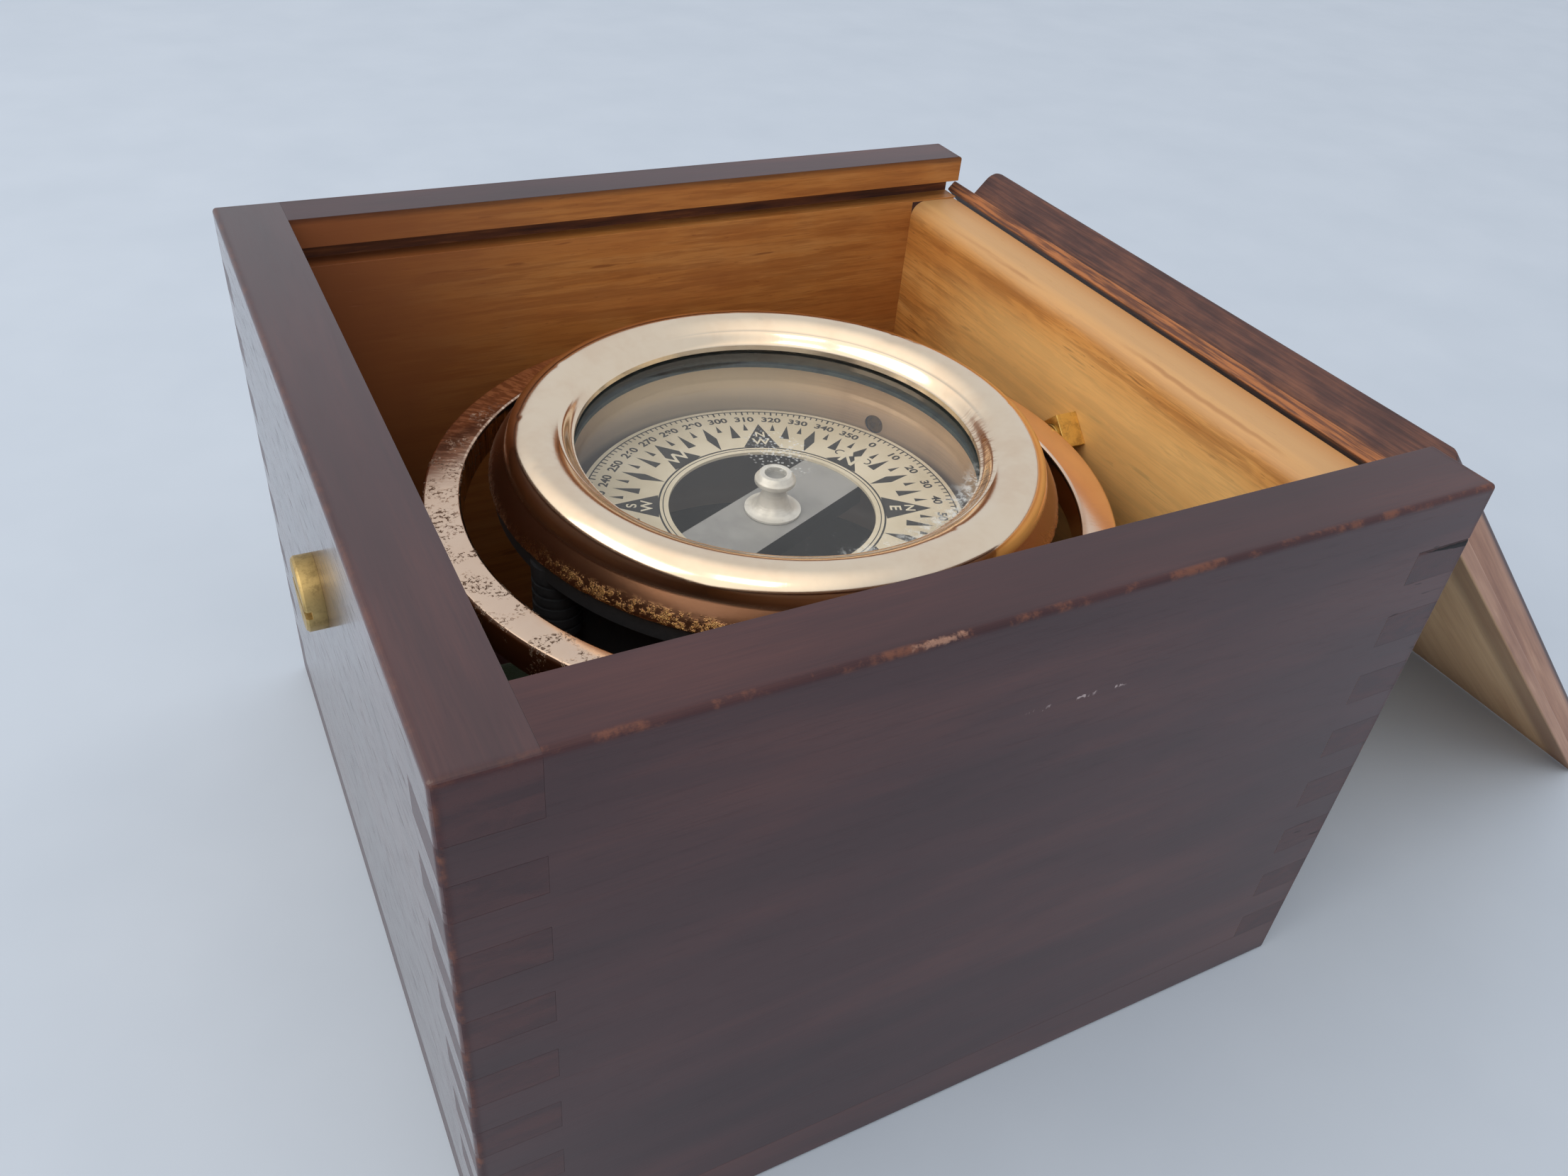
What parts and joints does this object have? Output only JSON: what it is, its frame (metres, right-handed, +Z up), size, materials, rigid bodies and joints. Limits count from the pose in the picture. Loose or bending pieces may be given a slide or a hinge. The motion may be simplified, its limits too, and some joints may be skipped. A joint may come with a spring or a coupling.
{
  "type": "marine compass",
  "caption": "Liquid-filled boat compass on a gimbal ring in a finger-jointed wooden box, its sliding lid taken out and leant on the open end.",
  "frame": {"origin": "centre of the box's footprint, on the surface that the box stands on", "axes": "+X along the box towards the low wall and the lid, +Y from the near wall to the back wall, +Z up"},
  "size_m": [0.2841, 0.1586, 0.114],
  "materials": {
    "wall_wood": "dark mahogany stain outside, worn orange edges, golden pine inside",
    "sill_wood": "golden pine, sanded edge",
    "base_wood": "dark stain",
    "lid_wood": "dark satin stain with worn edges",
    "felt": "green felt",
    "brass": "aged brass",
    "bronze": "polished rose bronze, pitted",
    "black_paint": "black paint over a casting",
    "glass": "clear, dusty",
    "black_rubber": "black",
    "teal_rubber": "grey teal",
    "washer_leather": "dark",
    "lead": "dull grey lead",
    "steel": "hard steel",
    "card_paper": "cream with black print",
    "bar_paint": "grey",
    "aluminium": "turned aluminium",
    "jewel": "polished",
    "magnet_paint": "dark"
  },
  "bodies": {
    "box": {"front_wall": "wall_wood", "back_wall": "wall_wood", "left_wall": "wall_wood", "right_wall": "sill_wood", "base_panel": "base_wood", "felt_pad": "felt", "outer_pivot_screws": "brass", "outer_pivot_nuts": "brass"},
    "lid": {"lid": "lid_wood"},
    "gimbal": {"gimbal_ring": "bronze", "inner_pivot_screws": "brass"},
    "bowl": {"bowl": "black_paint", "bezel_ring": "bronze", "glass": "glass", "upper_gasket": "black_rubber", "lower_gasket": "teal_rubber", "bezel_screws": "brass", "filler_plug": "brass", "plug_washer": "washer_leather", "diaphragm": "bronze", "ballast_weight": "lead", "ballast_screws": "brass", "pivot_post": "brass", "pivot_needle": "steel"},
    "card": {"card_ring": "card_paper", "card_bar": "bar_paint", "card_hub": "aluminium", "jewel": "jewel", "magnets": "magnet_paint"}
  },
  "joints": [
    {"name": "gimbal_swing", "type": "hinge", "parent": "box", "child": "gimbal", "pos_m": [0, 0, 0.08098], "axis": [1, 0, 0], "range_deg": [-45, 45]},
    {"name": "bowl_swing", "type": "hinge", "parent": "gimbal", "child": "bowl", "pos_m": [0, 0, 0.08098], "axis": [0, 1, 0], "range_deg": [-45, 45]},
    {"name": "card_turn", "type": "hinge", "parent": "bowl", "child": "card", "pos_m": [0, 0, 0.08098], "axis": [0, 0, 1], "continuous": true},
    {"name": "lid_tilt", "type": "hinge", "parent": "box", "child": "lid", "pos_m": [0.0813, 0, 0.10478], "axis": [0, -1, 0], "range_deg": [0, 43.2]}
  ]
}
